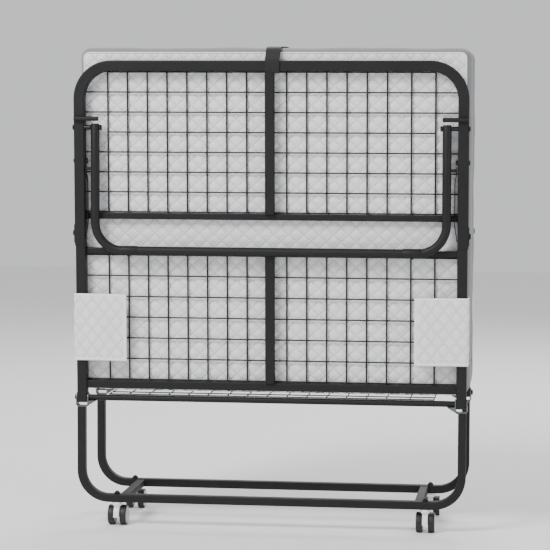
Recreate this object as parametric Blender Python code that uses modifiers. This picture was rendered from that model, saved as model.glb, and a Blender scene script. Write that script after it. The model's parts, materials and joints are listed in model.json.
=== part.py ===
"""Folding rollaway cot, stored upright: two sprung-wire deck halves hinged on a castered base,
with a quilted mattress folded between them. Metres, +Z up, origin on the floor at the middle."""

import math

import bmesh
import bpy

# Fits
GAP = 0.0003                  # between pieces that touch or are welded
RUN = 0.0003                  # radial running clearance of a pin in its hole
PLATE = 0.003                 # bracket, strip and cloth-tab thickness
HEAD_THICK = 0.0042           # of every bolt head
HEAD_TAPER = 0.8              # outer radius of a round head over its inner radius

# Overall
FRAME_WIDTH = 0.975           # outside faces of the uprights and of the deck's side tubes
HOOP_SPACING = 0.236          # between the middle planes of the two base hoops
HINGE_HEIGHT = 0.3235         # floor to the deck's hinge pins
DECK_TOP = 0.8435             # hinge to the end of a deck half, along the deck
LEAN_DEG = 2.0                # each folded half leans outwards
SIDE_TUBE = 0.025             # square tube of the deck
WIRE = 0.003
WHEEL_R = 0.025
BASE_HALF_WIDTH = FRAME_WIDTH / 2
HALF_SPACING = HOOP_SPACING / 2

# Base
UPRIGHT_WIDTH = 0.020         # tube size seen from the front
UPRIGHT_DEPTH = 0.025         # tube size seen from the side
RAIL_OVER_WHEELS = 0.010
RAIL_BOTTOM = 2 * WHEEL_R + RAIL_OVER_WHEELS
RAIL_TOP = RAIL_BOTTOM + UPRIGHT_WIDTH
HOOP_CORNER = 0.080           # outside bend radius
CASTER_INSET = 0.0995         # outside of the frame to a caster's stem
CASTER_X = BASE_HALF_WIDTH - CASTER_INSET
CROSSPIECE_INSET = 0.0165     # stem to the middle of the crosspiece
CROSSPIECE_X = CASTER_X - CROSSPIECE_INSET
CROSSPIECE_WIDTH = 0.022
CROSSPIECE_HEIGHT = 0.018

# Deck hinge
HINGE_PIN_R = 0.004
HINGE_TUBE_R = 0.0075
HINGE_HEAD_R = 0.007
BRACKET_ABOVE_WIRES = 0.0005
BRACKET_ABOVE_PIN = HINGE_TUBE_R + WIRE + BRACKET_ABOVE_WIRES
BRACKET_BELOW_PIN = 0.0235
GUSSET_REACH = 0.020

# Deck halves, with heights measured along the deck from the hinge
DECK_OUTER_HALF = BASE_HALF_WIDTH
DECK_INNER_HALF = DECK_OUTER_HALF - SIDE_TUBE
SIDE_BOTTOM = -0.009
SLEEVE_STEP = 0.0015          # the bent upper piece sleeves over the side tubes
BENT_TUBE = SIDE_TUBE + SLEEVE_STEP
BENT_CORNER = 0.095
BENT_INNER_HALF = DECK_INNER_HALF + GAP
BENT_OUTER_HALF = BENT_INNER_HALF + BENT_TUBE

# Leg, which is as long as the open deck is high
LEG_R = 0.011
LEG_INSET = 0.0265            # inside of the side tube to the middle of the leg
LEG_X = DECK_INNER_HALF - LEG_INSET
LEG_BEND = 0.070
PIVOT_BELOW_TOP = 0.1655
LEG_PIVOT_AT = DECK_TOP - PIVOT_BELOW_TOP
LEG_PIVOT_FORWARD = 0.007     # of the deck's middle plane
LEG_ABOVE_PIVOT = 0.0095
LEG_FLOOR_CLEARANCE = 0.0003
LEG_DROP = HINGE_HEIGHT - LEG_PIVOT_FORWARD - LEG_FLOOR_CLEARANCE - LEG_R
PIVOT_BOLT_R = 0.004
PIVOT_HEAD_R = 0.0065
PIVOT_SPACER_R = 0.006
STOP_ROD_R = 0.0055
STOP_ROD_SUNK = 0.001         # into the face of the tube it is welded to
STOP_ROD_SHORT = 0.002        # of the outside of that tube
STOP_ROD_ABOVE_PIVOT = 0.022
STUD_BELOW_PIVOT = 0.1015
STUD_R = 0.004

# Cross tubes and spines; the middle one lies behind the folded leg's bar
CROSS_FORWARD = 0.003         # front of the two small cross tubes, from the deck's middle plane
CROSS_SMALL = SIDE_TUBE / 2 + CROSS_FORWARD
CROSS_STEP = 0.005
CROSS_LARGE = SIDE_TUBE - CROSS_STEP    # the lowest one, and the depth of the spines
SPINE_WIDTH = 0.023
LOW_CROSS_AT = 0.0345
BAR_OVER_MID = 0.0028
MID_CROSS_AT = LEG_PIVOT_AT - LEG_DROP - BAR_OVER_MID
HIGH_BELOW_PIVOT = 0.220
HIGH_CROSS_AT = LEG_PIVOT_AT - HIGH_BELOW_PIVOT
SLEEVE_OVER_MID = 0.0135      # foot of the bent tube above the middle cross tube
BENT_BOTTOM = MID_CROSS_AT + SLEEVE_OVER_MID
CLIP_OVER_SLEEVE = 0.0185
CLIP_BOTTOM = BENT_BOTTOM + CLIP_OVER_SLEEVE

# Wire panels
OUTER_WIRE_INSET = 0.0555     # inside of the side tube to the outermost upright wire
OUTER_WIRE_X = DECK_INNER_HALF - OUTER_WIRE_INSET
EVEN_WIRES = 14               # gaps of one pitch, then two wide gaps at one side
WIDE_GAPS = 2
WIDE_GAP_RATIO = 1.189
WIRE_PITCH = 2 * OUTER_WIRE_X / (EVEN_WIRES + WIDE_GAPS * WIDE_GAP_RATIO)
HIGH_ROWS = 8
LOW_ROWS = 7
SHORT_ROW = 4                 # counted from the bottom, stops clear of the leg pivot
WIRE_PLANE = CROSS_LARGE - SIDE_TUBE / 2 + GAP + WIRE / 2

# Casters
WHEEL_WIDTH = 0.016
WHEEL_CHAMFER = 0.0012
WHEEL_GAP = 0.0144            # between the inner faces of the two wheels
CASTER_TRAIL = 0.014
AXLE_R = 0.004
HOOD_PROUD = 0.0045           # of the wheels
HOOD_R = WHEEL_R + HOOD_PROUD
HOOD_TAIL = 0.42              # radius of the web's tail, as a share of the hood's
STEM_R = 0.0045
STEM_ABOVE_RAIL = 0.0055
SWIVEL_BOSS_R = 0.010
SWIVEL_BOSS_HEIGHT = 0.009
SIDE_PLAY = 0.0004

# Mattress, cloth tabs and strap
MATTRESS_INSET = 0.005        # of the outside of the frame, each side
MATTRESS_HALF_WIDTH = BASE_HALF_WIDTH - MATTRESS_INSET
FOLD_ROOM = 0.012             # half the hoop spacing less the mattress
MATTRESS_THICK = HALF_SPACING - FOLD_ROOM
MATTRESS_OVER_TOP = 0.031
MATTRESS_TOP = DECK_TOP + MATTRESS_OVER_TOP
MATTRESS_FOOT = 0.113
MATTRESS_EDGE = 0.014
MIDDLE_CLEAR = 0.0065         # from the middle of the mattress to the folded decks
MIDDLE_DROP = 0.001           # of its top below the feet of the two halves
TAB_OVER_LOW = 0.060          # foot of a tab above the lowest cross tube
TAB_BOTTOM = LOW_CROSS_AT + TAB_OVER_LOW
TAB_TOP_SHARE = 0.7135        # of the way up to the middle cross tube
TAB_TOP = MID_CROSS_AT * TAB_TOP_SHARE
TAB_REACH = 0.134
TAB_BACK = 0.030
STRAP_X = 0.006
STRAP_WIDTH = 0.036
STRAP_THICK = 0.0025
STRAP_DROP = 0.0315           # down the front from the end of the deck
STRAP_BOTTOM = DECK_TOP - STRAP_DROP

SIDE = (("left", -1), ("right", 1))

COLORS = {
    "dark_coat": ((0.035, 0.035, 0.037), 0.45, 0.6),
    "black_wire": ((0.02, 0.02, 0.02), 0.5, 0.5),
    "zinc": ((0.35, 0.35, 0.36), 0.35, 0.9),
    "caster_shell": ((0.75, 0.75, 0.76), 0.35, 0.0),
    "caster_wheel": ((0.03, 0.03, 0.03), 0.6, 0.0),
    "quilted_cloth": ((0.62, 0.62, 0.63), 0.9, 0.0),
    "webbing": ((0.04, 0.04, 0.042), 0.9, 0.0),
}


def clear_scene():
    for old in list(bpy.data.objects):
        bpy.data.objects.remove(old, do_unlink=True)


def collection(name):
    made = bpy.data.collections.new(name)
    bpy.context.scene.collection.children.link(made)
    return made


def finish(obj, name, look, parent=None):
    """Name the piece, give it its own material and hang it on its frame."""
    obj.name = name
    color, roughness, metallic = COLORS[look]
    made = bpy.data.materials.new(name)
    made.use_nodes = True
    shader = made.node_tree.nodes["Principled BSDF"]
    shader.inputs["Base Color"].default_value = (*color, 1)
    shader.inputs["Roughness"].default_value = roughness
    shader.inputs["Metallic"].default_value = metallic
    obj.data.materials.clear()
    obj.data.materials.append(made)
    obj.parent = parent
    return obj


def empty(name, parent=None, location=(0, 0, 0), turn=(0, 0, 0)):
    made = bpy.data.objects.new(name, None)
    COT.objects.link(made)
    made.parent = parent
    made.location = location
    made.rotation_euler = [math.radians(a) for a in turn]
    return made


def arc(center, radius, start, stop, steps):
    """Points on a round corner, from one angle in degrees to another."""
    angles = [math.radians(start + (stop - start) * i / steps) for i in range(steps + 1)]
    return [(center[0] + radius * math.cos(a), center[1] + radius * math.sin(a)) for a in angles]


def rectangle(low, high):
    return [low, (high[0], low[1]), high, (low[0], high[1])]


FACING = {
    "front": (90, 0, 0),      # outline in X and Z, thickness along Y
    "side": (90, 0, 90),      # outline in Y and Z, thickness along X
    "top": (0, 0, 0),         # outline in X and Y, thickness along Z
}


def flat_shape(outlines, thickness, facing, at=(0, 0, 0)):
    """A filled outline, with any holes, extruded to its thickness about its own plane."""
    curve = bpy.data.curves.new("outline", "CURVE")
    curve.dimensions = "2D"
    curve.fill_mode = "BOTH"
    curve.extrude = thickness / 2
    for points in outlines:
        spline = curve.splines.new("POLY")
        spline.points.add(len(points) - 1)
        for point, (x, y) in zip(spline.points, points):
            point.co = (x, y, 0, 1)
        spline.use_cyclic_u = True
    obj = bpy.data.objects.new("outline", curve)
    COT.objects.link(obj)
    obj.location = at
    obj.rotation_euler = [math.radians(a) for a in FACING[facing]]
    return obj


def as_mesh(obj):
    """Turn a curve object into a welded mesh object in the same place."""
    bpy.context.view_layer.update()
    evaluated = obj.evaluated_get(bpy.context.evaluated_depsgraph_get())
    mesh = bpy.data.meshes.new_from_object(evaluated)
    bm = bmesh.new()
    bm.from_mesh(mesh)
    bmesh.ops.remove_doubles(bm, verts=bm.verts, dist=1e-6)
    bmesh.ops.recalc_face_normals(bm, faces=bm.faces)
    bm.to_mesh(mesh)
    bm.free()
    made = bpy.data.objects.new("piece", mesh)
    COT.objects.link(made)
    made.matrix_world = obj.matrix_world.copy()
    bpy.data.objects.remove(obj, do_unlink=True)
    return made


def block(low, high, edge=0.0):
    """A box between two corners, with its edges rounded when edge is given."""
    mesh = bpy.data.meshes.new("block")
    bm = bmesh.new()
    bmesh.ops.create_cube(bm, size=1)
    for vert in bm.verts:
        vert.co = [(a + b) / 2 + (b - a) * c for a, b, c in zip(low, high, vert.co)]
    bm.to_mesh(mesh)
    bm.free()
    obj = bpy.data.objects.new("block", mesh)
    COT.objects.link(obj)
    if edge:
        bevel = obj.modifiers.new("edges", "BEVEL")
        bevel.width = edge
        bevel.segments = 2
        bevel.limit_method = "ANGLE"
    return obj


def turned(profile, steps):
    """A solid turned about X: the profile is (x, radius) pairs that start and end on the axis."""
    mesh = bpy.data.meshes.new("turned")
    bm = bmesh.new()
    verts = [bm.verts.new((radius, 0, -x)) for x, radius in profile]
    for a, b in zip(verts, verts[1:]):
        bm.edges.new((a, b))
    bm.to_mesh(mesh)
    bm.free()
    obj = bpy.data.objects.new("turned", mesh)
    COT.objects.link(obj)
    screw = obj.modifiers.new("turn", "SCREW")
    screw.axis = "Z"
    screw.steps = steps
    screw.render_steps = steps
    screw.use_merge_vertices = True
    screw.merge_threshold = 1e-6
    obj.rotation_euler = (0, math.radians(-90), 0)
    return obj


def rod(radius, start, stop, segments=16):
    """A straight rod along X or Z between two points, as a cutter or a piece to be joined."""
    length = max(abs(b - a) for a, b in zip(start, stop))
    bpy.ops.mesh.primitive_cylinder_add(
        vertices=segments,
        radius=radius,
        depth=length,
        location=[(a + b) / 2 for a, b in zip(start, stop)],
        rotation=(0, math.pi / 2, 0) if start[0] != stop[0] else (0, 0, 0),
    )
    obj = bpy.context.active_object
    for home in list(obj.users_collection):
        home.objects.unlink(obj)
    CUTTERS.objects.link(obj)
    obj.hide_render = True
    obj.display_type = "WIRE"
    return obj


def shape_with(obj, tool, operation):
    """Cut the tool from the piece, or join it on; both are still in the same frame."""
    boolean = obj.modifiers.new(operation.lower(), "BOOLEAN")
    boolean.operation = operation
    boolean.solver = "EXACT"
    boolean.object = tool


def baked(obj):
    """The piece with its modifiers applied, so that copies can share its mesh."""
    bpy.context.view_layer.update()
    evaluated = obj.evaluated_get(bpy.context.evaluated_depsgraph_get())
    mesh = bpy.data.meshes.new_from_object(evaluated)
    mesh.transform(obj.matrix_world)
    bpy.data.objects.remove(obj, do_unlink=True)
    return mesh


def placed(mesh, at=(0, 0, 0)):
    obj = bpy.data.objects.new("piece", mesh.copy())
    COT.objects.link(obj)
    obj.location = at
    return obj


# ---------------------------------------------------------------- base

def base_hoop(name, frame):
    """One bent U of rectangular tube: two uprights and the rail that carries two casters."""
    outer, width = BASE_HALF_WIDTH, UPRIGHT_WIDTH
    top = HINGE_HEIGHT - BRACKET_BELOW_PIN - GAP
    inner_bend = HOOP_CORNER - width
    corner_x, corner_z = outer - HOOP_CORNER, RAIL_BOTTOM + HOOP_CORNER
    outline = [(-outer, top), *arc((-corner_x, corner_z), HOOP_CORNER, 180, 270, 8)]
    outline += [*arc((corner_x, corner_z), HOOP_CORNER, 270, 360, 8), (outer, top), (outer - width, top)]
    outline += [*arc((corner_x, corner_z), inner_bend, 360, 270, 8)]
    outline += [*arc((-corner_x, corner_z), inner_bend, 270, 180, 8), (width - outer, top)]
    hoop = as_mesh(flat_shape([outline], UPRIGHT_DEPTH, "front", (0, -HALF_SPACING, 0)))
    for _, sign in SIDE:
        x = sign * CASTER_X
        hole = rod(STEM_R + RUN, (x, -HALF_SPACING, 0), (x, -HALF_SPACING, 2 * RAIL_TOP))
        shape_with(hoop, hole, "DIFFERENCE")
    mesh = baked(hoop)
    finish(placed(mesh), name, "dark_coat", frame)


def crosspiece(name, sign):
    half_depth = HALF_SPACING - UPRIGHT_DEPTH / 2 - GAP
    middle = (RAIL_BOTTOM + RAIL_TOP) / 2
    x = sign * CROSSPIECE_X
    low = (x - CROSSPIECE_WIDTH / 2, -half_depth, middle - CROSSPIECE_HEIGHT / 2)
    high = (x + CROSSPIECE_WIDTH / 2, half_depth, middle + CROSSPIECE_HEIGHT / 2)
    finish(block(low, high), name, "dark_coat")


def hinge_bracket(name, sign, frame):
    """A U-shaped clevis on the upright: two cheeks round the deck's side tube, and an inner gusset."""
    inner = DECK_INNER_HALF - GAP
    outer = DECK_OUTER_HALF + GAP
    low = HINGE_HEIGHT - BRACKET_BELOW_PIN
    high = HINGE_HEIGHT + BRACKET_ABOVE_PIN
    shelf = HINGE_HEIGHT - HINGE_TUBE_R - GAP
    outline = [(outer + PLATE, low), (outer + PLATE, high), (outer, high), (outer, low + PLATE)]
    outline += [(inner, low + PLATE), (inner, high), (inner - PLATE, high), (inner - PLATE, shelf)]
    outline += [(inner - PLATE - GUSSET_REACH, shelf), (inner - PLATE, low)]
    mirrored = [(sign * x, z) for x, z in outline]
    bracket = as_mesh(flat_shape([mirrored], UPRIGHT_DEPTH, "front", (0, -HALF_SPACING, 0)))
    middle = sign * (inner + outer) / 2
    start = (middle - SIDE_TUBE, -HALF_SPACING, HINGE_HEIGHT)
    stop = (middle + SIDE_TUBE, -HALF_SPACING, HINGE_HEIGHT)
    shape_with(bracket, rod(HINGE_PIN_R + RUN, start, stop, 20), "DIFFERENCE")
    finish(placed(baked(bracket)), name, "zinc", frame)


def hinge_axle(name, frame):
    """The round tube across the base with a shoulder bolt at each end, which the deck turns on."""
    tube_end = DECK_INNER_HALF - 2 * GAP - PLATE
    head = DECK_OUTER_HALF + PLATE + 2 * GAP
    half = [(0, HINGE_TUBE_R), (tube_end, HINGE_TUBE_R), (tube_end, HINGE_PIN_R), (head, HINGE_PIN_R)]
    half += [(head, HINGE_HEAD_R), (head + HEAD_THICK, HINGE_HEAD_R * HEAD_TAPER), (head + HEAD_THICK, 0)]
    profile = [(-x, r) for x, r in reversed(half)] + half[1:]
    axle = turned(profile, 16)
    axle.location = (0, -HALF_SPACING, HINGE_HEIGHT)
    finish(axle, name, "dark_coat", frame)


def wire_positions():
    """The upright wires: an even pitch, then two wide gaps that take up the rest of the width."""
    even = [-OUTER_WIRE_X + WIRE_PITCH * i for i in range(EVEN_WIRES + 1)]
    wide = (OUTER_WIRE_X - even[-1]) / WIDE_GAPS
    return even + [even[-1] + wide * (i + 1) for i in range(WIDE_GAPS)]


def spread(first, last, count):
    return [first + (last - first) * i / (count - 1) for i in range(count)]


def grille_outlines(columns, rows, reach):
    """A welded grid as one outline with a hole in each mesh; reach gives how far each row runs out."""
    half = WIRE / 2
    left, right = columns[0] - half, columns[-1] + half
    outer = []
    for row, out in zip(rows, reach):
        outer += [(right, row - half), (out, row - half), (out, row + half), (right, row + half)]
    for row, out in reversed(list(zip(rows, reach))):
        outer += [(left, row + half), (-out, row + half), (-out, row - half), (left, row - half)]
    tidy = [p for i, p in enumerate(outer) if p != outer[i - 1]]
    holes = []
    for a, b in zip(columns, columns[1:]):
        for c, d in zip(rows, rows[1:]):
            holes.append(rectangle((a + half, c + half), (b - half, d - half)))
    return [tidy, *holes]


def middle_grille(name):
    """Short wires front to back over the two hinge tubes, which hold up the middle of the mattress."""
    rows = spread(-HALF_SPACING, HALF_SPACING, 3)
    edge = OUTER_WIRE_X + WIRE / 2
    outlines = grille_outlines(wire_positions(), rows, [edge] * len(rows))
    z = HINGE_HEIGHT + HINGE_TUBE_R + GAP + WIRE / 2
    finish(flat_shape(outlines, WIRE, "top", (0, 0, z)), name, "black_wire")


# ---------------------------------------------------------------- casters

def caster_meshes():
    """The swivel body with its stem, and the two wheels on their axle, about the stem's foot."""
    web = WHEEL_GAP - 2 * SIDE_PLAY
    axle = (CASTER_TRAIL, WHEEL_R)
    outline = arc(axle, HOOD_R, 50, 196, 12) + arc(axle, HOOD_R * HOOD_TAIL, 230, 380, 6)
    hole = arc(axle, AXLE_R + RUN, 0, 345, 23)
    body = as_mesh(flat_shape([outline, hole], web, "side"))
    boss_low = RAIL_BOTTOM - GAP - SWIVEL_BOSS_HEIGHT
    boss = rod(SWIVEL_BOSS_R, (0, 0, boss_low), (0, 0, RAIL_BOTTOM - GAP), 20)
    shape_with(body, boss, "UNION")
    stem = rod(STEM_R, (0, 0, boss_low + SWIVEL_BOSS_HEIGHT / 2), (0, 0, RAIL_TOP + STEM_ABOVE_RAIL), 16)
    shape_with(body, stem, "UNION")
    inner = WHEEL_GAP / 2
    outer = inner + WHEEL_WIDTH
    tread, shoulder = WHEEL_R, WHEEL_R - WHEEL_CHAMFER
    half = [(0, AXLE_R), (inner, AXLE_R), (inner, shoulder), (inner + WHEEL_CHAMFER, tread)]
    half += [(outer - WHEEL_CHAMFER, tread), (outer, shoulder), (outer, 0)]
    wheels = turned([(-x, r) for x, r in reversed(half)] + half[1:], 24)
    return baked(body), baked(wheels)


def casters():
    body, wheels = caster_meshes()
    for end, y in (("front", -HALF_SPACING), ("rear", HALF_SPACING)):
        for side, sign in SIDE:
            x = sign * CASTER_X
            swivel = empty(f"caster_{end}_{side}_swivel", None, (x, y, 0))
            finish(placed(body), f"caster_{end}_{side}_housing", "caster_shell", swivel)
            wheel = finish(placed(wheels), f"caster_{end}_{side}_wheels", "caster_wheel", swivel)
            wheel.location = (0, CASTER_TRAIL, WHEEL_R)


# ---------------------------------------------------------------- deck halves

def bent_top_tube(name, frame):
    """The head of a deck half: one bent inverted U, with the two stop rods welded to its front."""
    outer, inner = BENT_OUTER_HALF, BENT_INNER_HALF
    bend, inner_bend = BENT_CORNER, BENT_CORNER - BENT_TUBE
    x, z = outer - bend, DECK_TOP - bend
    outline = [(outer, BENT_BOTTOM), *arc((x, z), bend, 0, 90, 8), *arc((-x, z), bend, 90, 180, 8)]
    outline += [(-outer, BENT_BOTTOM), (-inner, BENT_BOTTOM)]
    outline += [*arc((-x, z), inner_bend, 180, 90, 8), *arc((x, z), inner_bend, 90, 0, 8)]
    outline += [(inner, BENT_BOTTOM)]
    tube = as_mesh(flat_shape([outline], BENT_TUBE, "front"))
    forward = -BENT_TUBE / 2 - STOP_ROD_R + STOP_ROD_SUNK
    up = LEG_PIVOT_AT + STOP_ROD_ABOVE_PIVOT
    for _, sign in SIDE:
        pivot = (LEG_PIVOT_FORWARD, LEG_PIVOT_AT)
        start = (sign * (inner - BENT_TUBE), -pivot[0], pivot[1])
        stop = (sign * (outer + BENT_TUBE), -pivot[0], pivot[1])
        shape_with(tube, rod(PIVOT_BOLT_R + RUN, start, stop, 16), "DIFFERENCE")
        start = (sign * (LEG_X - LEG_R), forward, up)
        stop = (sign * (outer - STOP_ROD_SHORT), forward, up)
        shape_with(tube, rod(STOP_ROD_R, start, stop, 12), "UNION")
    finish(placed(baked(tube)), name, "dark_coat", frame)


def side_tube(name, sign, frame):
    """The straight lower part of one side, bored for the hinge pin and plugged at its foot."""
    half = SIDE_TUBE / 2
    outline = rectangle((-half, SIDE_BOTTOM), (half, BENT_BOTTOM - GAP))
    hole = arc((0, 0), HINGE_PIN_R + RUN, 0, 342, 19)
    middle = sign * (DECK_INNER_HALF + half)
    finish(flat_shape([outline, hole], SIDE_TUBE, "side", (middle, 0, 0)), name, "dark_coat", frame)


def cross_tube(name, at, size, frame):
    """A square tube between the two sides, flush with the back of the frame."""
    half_width = DECK_INNER_HALF - GAP
    back = SIDE_TUBE / 2
    low = (-half_width, back - size, at - size / 2)
    high = (half_width, back, at + size / 2)
    finish(block(low, high), name, "dark_coat", frame)


def spine(name, low, high, frame):
    """The tube up the middle, flush with the front, with the wires behind it."""
    half = SPINE_WIDTH / 2
    front = -SIDE_TUBE / 2
    corner_low = (-half, front, low + GAP)
    corner_high = (half, front + CROSS_LARGE, high - GAP)
    finish(block(corner_low, corner_high), name, "dark_coat", frame)


def bend_opposite(leg):
    """The other leg of the triangle under the inside of the bend, which has this one leg."""
    bend = BENT_CORNER - BENT_TUBE
    return math.sqrt(max(bend * bend - leg * leg, 0))


def wire_reach(row):
    """How far out a row may run at its height: to the side tube, or to the inside of its bend."""
    rise = row + WIRE / 2 - (DECK_TOP - BENT_CORNER)
    if rise <= 0:
        return DECK_INNER_HALF - GAP
    return BENT_OUTER_HALF - BENT_CORNER + bend_opposite(rise) - 2 * GAP


def wire_top():
    """The top of the upper panel, where its outer wires meet the inside of the bend."""
    run = max(OUTER_WIRE_X + WIRE / 2 - (BENT_OUTER_HALF - BENT_CORNER), 0)
    return DECK_TOP - BENT_CORNER + bend_opposite(run)


def wire_panel(name, low, high, count, short_row, frame):
    """A welded wire panel between two cross tubes, whose rows run out to the side tubes."""
    half = WIRE / 2 + GAP
    rows = spread(low + half, high - half, count)
    edge = OUTER_WIRE_X + WIRE / 2
    reach = [wire_reach(row) for row in rows]
    if short_row is not None:
        reach[short_row] = edge
    if rows[-1] > DECK_TOP - BENT_CORNER:
        reach[-1] = edge
    outlines = grille_outlines(wire_positions(), rows, reach)
    panel = flat_shape(outlines, WIRE, "front", (0, WIRE_PLANE, 0))
    finish(panel, name, "black_wire", frame)


def pivot_bolt(name, sign, frame):
    """Shoulder bolt of the leg: head outside, spacer between tube and leg, nut inside the leg."""
    inner_face = BENT_INNER_HALF - GAP
    leg_out, leg_in = LEG_X + LEG_R + GAP, LEG_X - LEG_R - GAP
    head = BENT_OUTER_HALF + GAP
    profile = [(head + HEAD_THICK, 0), (head + HEAD_THICK, PIVOT_HEAD_R * HEAD_TAPER), (head, PIVOT_HEAD_R)]
    profile += [(head, PIVOT_BOLT_R), (inner_face, PIVOT_BOLT_R), (inner_face, PIVOT_SPACER_R)]
    profile += [(leg_out, PIVOT_SPACER_R), (leg_out, PIVOT_BOLT_R), (leg_in, PIVOT_BOLT_R)]
    profile += [(leg_in, PIVOT_HEAD_R), (leg_in - HEAD_THICK, PIVOT_HEAD_R), (leg_in - HEAD_THICK, 0)]
    bolt = turned([(-x, r) for x, r in profile], 14)
    if sign > 0:
        bolt.rotation_euler = (0, math.radians(90), 0)
    bolt.location = (0, -LEG_PIVOT_FORWARD, LEG_PIVOT_AT)
    finish(bolt, name, "zinc", frame)


def leg_clip(name, sign, frame):
    """A spring strip inside the side tube, in front of the cross tube, that grips the leg's stud."""
    face = BENT_INNER_HALF - GAP
    depth = SIDE_TUBE - CROSS_SMALL - GAP
    inside = face - PLATE
    low = (min(sign * inside, sign * face), -SIDE_TUBE / 2, CLIP_BOTTOM)
    top = LEG_PIVOT_AT - STUD_BELOW_PIVOT + 2 * STUD_R
    high = (max(sign * inside, sign * face), -SIDE_TUBE / 2 + depth, top)
    finish(block(low, high), name, "zinc", frame)


def leg(name, frame):
    """The U-shaped foot: one bent round tube bored for its pivots, with a stud on each side."""
    path = [(-LEG_X, LEG_ABOVE_PIVOT)]
    path += arc((-LEG_X + LEG_BEND, -LEG_DROP + LEG_BEND), LEG_BEND, 180, 270, 8)
    path += arc((LEG_X - LEG_BEND, -LEG_DROP + LEG_BEND), LEG_BEND, 270, 360, 8)
    path += [(LEG_X, LEG_ABOVE_PIVOT)]
    curve = bpy.data.curves.new("leg", "CURVE")
    curve.dimensions = "3D"
    curve.bevel_depth = LEG_R
    curve.bevel_resolution = 2
    curve.use_fill_caps = True
    spline = curve.splines.new("POLY")
    spline.points.add(len(path) - 1)
    for point, (x, z) in zip(spline.points, path):
        point.co = (x, 0, z, 1)
    obj = bpy.data.objects.new("leg", curve)
    COT.objects.link(obj)
    tube = as_mesh(obj)
    stud_end = BENT_INNER_HALF - PLATE - 2 * GAP
    for _, sign in SIDE:
        start = (sign * (LEG_X - 2 * LEG_R), 0, 0)
        stop = (sign * (LEG_X + 2 * LEG_R), 0, 0)
        hole = rod(PIVOT_BOLT_R + RUN, start, stop, 16)
        shape_with(tube, hole, "DIFFERENCE")
        start = (sign * LEG_X, 0, -STUD_BELOW_PIVOT)
        stop = (sign * stud_end, 0, -STUD_BELOW_PIVOT)
        shape_with(tube, rod(STUD_R, start, stop, 12), "UNION")
    finish(placed(baked(tube)), name, "dark_coat", frame)


# ---------------------------------------------------------------- mattress, tabs and strap

def mattress_half(name, frame):
    back = BENT_TUBE / 2 + GAP
    low = (-MATTRESS_HALF_WIDTH, back, MATTRESS_FOOT)
    high = (MATTRESS_HALF_WIDTH, back + MATTRESS_THICK, MATTRESS_TOP)
    finish(block(low, high, MATTRESS_EDGE), name, "quilted_cloth", frame)


def mattress_middle(name):
    half_depth = HALF_SPACING - SIDE_TUBE / 2 - MIDDLE_CLEAR
    low_z = HINGE_HEIGHT + BRACKET_ABOVE_PIN + 2 * GAP
    high_z = HINGE_HEIGHT + MATTRESS_FOOT - MIDDLE_DROP
    low = (-MATTRESS_HALF_WIDTH, -half_depth, low_z)
    high = (MATTRESS_HALF_WIDTH, half_depth, high_z)
    finish(block(low, high, MATTRESS_EDGE), name, "quilted_cloth")


def side_tab(name, sign, frame):
    """A quilted tab sewn to the mattress, folded round the side tube and under the wires."""
    outer = DECK_OUTER_HALF + GAP + PLATE
    front = -SIDE_TUBE / 2 - GAP - PLATE
    outline = [(outer, TAB_BACK), (outer, front), (outer - TAB_REACH, front)]
    outline += [(outer - TAB_REACH, front + PLATE), (outer - PLATE, front + PLATE), (outer - PLATE, TAB_BACK)]
    mirrored = [(sign * x, y) for x, y in outline]
    height = TAB_TOP - TAB_BOTTOM
    middle = (TAB_TOP + TAB_BOTTOM) / 2
    finish(flat_shape([mirrored], height, "top", (0, 0, middle)), name, "quilted_cloth", frame)


def strap_half(name, x, frame):
    """Half of the hook-and-loop strap: round the top tube, up and over the end of the mattress."""
    lean = math.radians(LEAN_DEG)
    half = STRAP_THICK / 2
    front = -BENT_TUBE / 2 - GAP - half
    over = MATTRESS_TOP + GAP + half
    mattress_face = BENT_TUBE / 2 + GAP
    middle = (HALF_SPACING + over * math.sin(lean)) / math.cos(lean) - GAP
    path = [(front, STRAP_BOTTOM), (front, DECK_TOP + STRAP_THICK), (mattress_face, over)]
    path += [(middle, over)]
    curve = bpy.data.curves.new("strap", "CURVE")
    curve.dimensions = "2D"
    curve.fill_mode = "NONE"
    curve.extrude = STRAP_WIDTH / 2
    spline = curve.splines.new("POLY")
    spline.points.add(len(path) - 1)
    for point, (y, z) in zip(spline.points, path):
        point.co = (y, z, 0, 1)
    obj = bpy.data.objects.new("strap", curve)
    COT.objects.link(obj)
    obj.rotation_euler = [math.radians(a) for a in FACING["side"]]
    obj.location = (x, 0, 0)
    band = as_mesh(obj)
    wall = band.modifiers.new("thickness", "SOLIDIFY")
    wall.thickness = STRAP_THICK
    wall.offset = 0
    wall.use_even_offset = True
    finish(band, name, "webbing", frame)


# ---------------------------------------------------------------- assembly

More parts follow.
